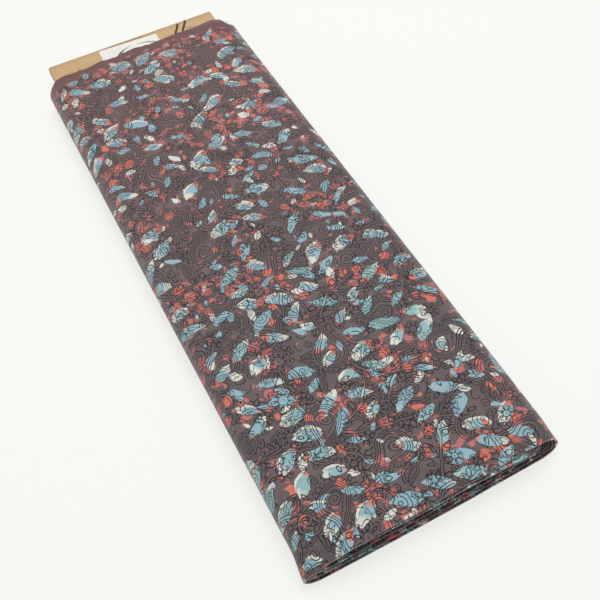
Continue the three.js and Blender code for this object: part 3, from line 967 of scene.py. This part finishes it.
def make_board(material):
    low, high, liner = BOARD_LOW, BOARD_HIGH, LINER["thickness"]
    corner_x = BOARD_HALF - liner / 2 - FOLD_RADIUS
    corner_z = BOARD_THICKNESS / 2 - liner / 2 - FOLD_RADIUS
    r, wrap = FOLD_RADIUS, []
    for cx, cz, start in ((1, 1, pi / 2), (1, -1, 0.0), (-1, -1, -pi / 2), (-1, 1, pi)):
        for step in range(FOLD_STEPS + 1):
            a = start - step / FOLD_STEPS * pi / 2
            wrap.append((cx * corner_x + r * cos(a), MIDDLE_Z + cz * corner_z + r * sin(a)))
    parts = [strip(wrap, liner, (low.y, *WRAP_BREAKS, high.y), closed=True)]
    ply = (BOARD_THICKNESS - 2 * liner) / FLUTE["plies"]
    inner_half = BOARD_HALF - liner * 1.5
    for number in range(1, FLUTE["plies"]):
        z = low.z + liner + ply * number
        level = [(x, z) for x in np.linspace(-inner_half, inner_half, LINER["points"])]
        parts.append(strip(level, liner, (low.y + LINER["back"], high.y - LINER["back"])))
    height = (ply - liner - FLUTE["thickness"]) / 2
    for number in range(FLUTE["plies"]):
        z = low.z + liner + ply * (number + 0.5)
        reach = inner_half - (0 if number == FLUTE["plies"] // 2 else FOLD_RADIUS)
        points = round(2 * reach / FLUTE["pitch"] * FLUTE["points"])
        wave = [
            (x, z + height * sin(2 * pi * x / FLUTE["pitch"] + number * 2.1))
            for x in np.linspace(-reach, reach, points)
        ]
        parts.append(strip(wave, FLUTE["thickness"], (low.y + FLUTE["back"], high.y - FLUTE["back"])))
    make_piece("folded_board", *join(parts), material, "cardboard", ["bolt_board"])


# ---- The paper label and the loose threads ----
# The label's corners in millimetres: x, and how far back from the board's end.
LABEL_CORNERS = [(-37.9, 2.4), (26.4, 5.4), (25.2, 30.4), (-39.2, 32.0)]
LABEL_UNDER_CLOTH = 3.5  # mm more than its solid
LABEL_THICKNESS = 0.18 * MM
LABEL_GAP = 0.02 * MM
LABEL_GRID = (131, 53)
PAPER = (0.80, 0.805, 0.755)
# painted shade in the label's creases
PAPER_CREASE_SHADE = (0.15, 0.13, 0.095)
# Creases of the label in millimetres: where they start and end, how wide they are on the near and on
# the far side, how high they stand and how much painted shade darkens them.
LABEL_CREASES = [
    {"start": (-20.0, 281.3), "end": (-4.6, 288.4), "near": 0.55, "far": 2.6, "height": 0.9, "crease_shade": 0.95},
    {"start": (21.0, 281.2), "end": (1.2, 288.0), "near": 0.5, "far": 2.2, "height": 0.8, "crease_shade": 0.7},
    {"start": (-26.0, 283.5), "end": (-21.0, 290.5), "near": 0.7, "far": 1.6, "height": 0.35, "crease_shade": 0.16},
    {"start": (8.0, 281.0), "end": (23.0, 290.0), "near": 1.2, "far": 1.8, "height": 0.3, "crease_shade": 0.0},
]


def paper():
    material, g, shader = new_material("paper", specular=0.3, roughness=0.6)
    x, y, _ = g.place()
    ragged = (g.noise(g.point(x, y), 2.6) - 0.5) * 1.1
    crease_shade = 0.0
    # painted shade along each crease of the label
    for crease in LABEL_CREASES:
        (x0, y0), (x1, y1) = crease["start"], crease["end"]
        along, away = g.turned(x - x0, y - y0, atan2(y1 - y0, x1 - x0))
        length = hypot(x1 - x0, y1 - y0)
        width = g.ramp(along, 0.0, length, 1.15, 0.3)
        mark = g.ramp(abs(away + ragged) / width, 1.0, 0.3) * g.ramp(along, -0.8, 1.0) * (along < length)
        crease_shade = mark * crease["crease_shade"] + crease_shade
    g.feed(shader.inputs["Base Color"], g.colour(g.minimum(crease_shade, 1.0), PAPER, PAPER_CREASE_SHADE))
    return material


def label_rise(x, y):
    """How far the label stands off the board at a place, all in millimetres."""
    rise = 0.12 * (1 + sin(x * 0.21 + y * 0.11))
    for crease in LABEL_CREASES:
        along, away = from_line(x, y, crease["start"], crease["end"])
        far = (away > 0) == (crease["end"][0] > crease["start"][0])
        strength = float(smooth(-0.2, 0.1, along) * (1 - smooth(0.6, 1.1, along)))
        rise += crease["height"] * strength * exp(-((away / crease["far" if far else "near"]) ** 2))
    return rise


def make_label(material):
    corners = (Vector((x, BOARD_HIGH.y / MM - back)) for x, back in LABEL_CORNERS)
    far_left, far_right, near_right, near_left = corners
    under = Vector((0, LABEL_UNDER_CLOTH))
    columns, rows = LABEL_GRID
    vertices = []
    for v in np.linspace(0, 1, rows):
        for side in (1, -1):
            for u in np.linspace(0, 1, columns):
                near = near_left.lerp(near_right, u) - under
                far = far_left.lerp(far_right, u)
                x, y = near.lerp(far, v)
                free = float(smooth(LABEL_UNDER_CLOTH + 0.3, LABEL_UNDER_CLOTH + 3.3, y - near.y))
                z = BOARD_HIGH.z + LABEL_GAP + LABEL_THICKNESS * (side + 1) / 2
                vertices.append((x * MM, y * MM, z + label_rise(x, y) * free * MM))
    make_piece("paper_tag", vertices, walls(rows, columns), material, "paper", ["paper_label"])


THREADS = [  # mm: where each loose thread leaves the selvedge, and how it bends
    {"x": -72, "z": 26.9, "steps": [(-2, 5, -0.8), (-6, 9, -4.5), (-13, 11, -6.6), (-19, 9, -7.0)]},
    {"x": -69, "z": 27.1, "steps": [(1, 4, 0.2), (4, 7, -2.5), (9, 8, -6.6)]},
    {"x": 64, "z": 27.0, "steps": [(2, 5, -0.5), (3, 10, -4.0), (-1, 15, -6.9), (-7, 17, -7.1)]},
    {"x": 96, "z": 22.0, "steps": [(3, 4, 0.5), (5, 9, -1.0), (4, 14, -4.0)]},
]
THREAD = (0.17, 0.085, 0.085)
THREAD_RADIUS = 0.14 * MM
THREAD_SIDES = 6


def smooth_path(points, parts=6):
    """Points along a Catmull-Rom curve."""
    points = [2 * points[0] - points[1], *points, 2 * points[-1] - points[-2]]
    path = []
    for p0, p1, p2, p3 in zip(points, points[1:], points[2:], points[3:]):
        for k in range(parts):
            t = k / parts
            path.append(
                0.5 * (2 * p1 + (p2 - p0) * t + (2 * p0 - 5 * p1 + 4 * p2 - p3) * t**2
                       + (3 * p1 - p0 - 3 * p2 + p3) * t**3)
            )
    return [*path, points[-2]]


def tube(path, radius, sides):
    vertices, faces = [], []
    side = Vector((0, 0, 1))
    for i, point in enumerate(path):
        along = (path[min(i + 1, len(path) - 1)] - path[max(i - 1, 0)]).normalized()
        first = along.cross(side).normalized()
        second = along.cross(first)
        for k in range(sides):
            a = 2 * pi * k / sides
            vertices.append(tuple(point + (first * cos(a) + second * sin(a)) * radius))
    for i in range(len(path) - 1):
        for k in range(sides):
            n = (k + 1) % sides
            faces.append((i * sides + k, i * sides + n, (i + 1) * sides + n, (i + 1) * sides + k))
    faces.append(tuple(range(sides))[::-1])
    faces.append(tuple(range((len(path) - 1) * sides, len(path) * sides)))
    return vertices, faces


def make_threads():
    material, _, shader = new_material("thread")
    shader.inputs["Base Color"].default_value = (*THREAD, 1)
    parts = []
    for row in THREADS:
        start = Vector((row["x"], float(far_edge(0, row["x"] * MM)) / MM - 1.0, row["z"]))
        points = [start * MM] + [(start + Vector(step)) * MM for step in row["steps"]]
        parts.append(tube(smooth_path(points), THREAD_RADIUS, THREAD_SIDES))
    make_piece("loose_threads", *join(parts), material, "printed_cotton")


# ---- Stage and light ----
FLOOR = {"size": 40.0, "below": 0.2 * MM, "colour": (0.235, 0.236, 0.229)}
FLOOR_GLOW = {"colour": (1.0, 1.0, 0.975), "strength": 0.70}


def make_stage():
    bpy.ops.mesh.primitive_plane_add(size=FLOOR["size"], location=(0, 0, -FLOOR["below"]))
    floor = bpy.context.object
    floor.name = "floor"
    material, _, shader = new_material("floor", specular=0.1)
    shader.inputs["Base Color"].default_value = (*FLOOR["colour"], 1)
    shader.inputs["Emission Color"].default_value = (*FLOOR_GLOW["colour"], 1)
    shader.inputs["Emission Strength"].default_value = FLOOR_GLOW["strength"]
    floor.data.materials.append(material)


LIGHTS = [
    {"name": "key", "at": (0.5, 0.4, 2.0), "size": 1.4, "power": 26, "colour": (1.0, 0.995, 0.98)},
    {"name": "fill", "at": (-0.9, 0.2, 1.8), "size": 1.8, "power": 6, "colour": (0.985, 0.99, 1.0)},
]
WORLD_STRENGTH = 0.45


def make_lights():
    for row in LIGHTS:
        light = bpy.data.lights.new(row["name"], "AREA")
        light.energy, light.size, light.color = row["power"], row["size"], row["colour"]
        holder = bpy.data.objects.new(row["name"], light)
        bpy.context.scene.collection.objects.link(holder)
        holder.location = row["at"]
        holder.rotation_euler = (-Vector(row["at"])).to_track_quat("-Z", "Y").to_euler()
    world = bpy.data.worlds.new("studio")
    bpy.context.scene.world = world
    world.use_nodes = True
    background = world.node_tree.nodes["Background"]
    background.inputs["Color"].default_value = (1, 1, 1, 1)
    background.inputs["Strength"].default_value = WORLD_STRENGTH
    bpy.context.scene.view_settings.view_transform = "Standard"


make_stage()
make_lights()
make_cloth(printed_cotton())
make_board(cardboard())
make_label(paper())
make_threads()
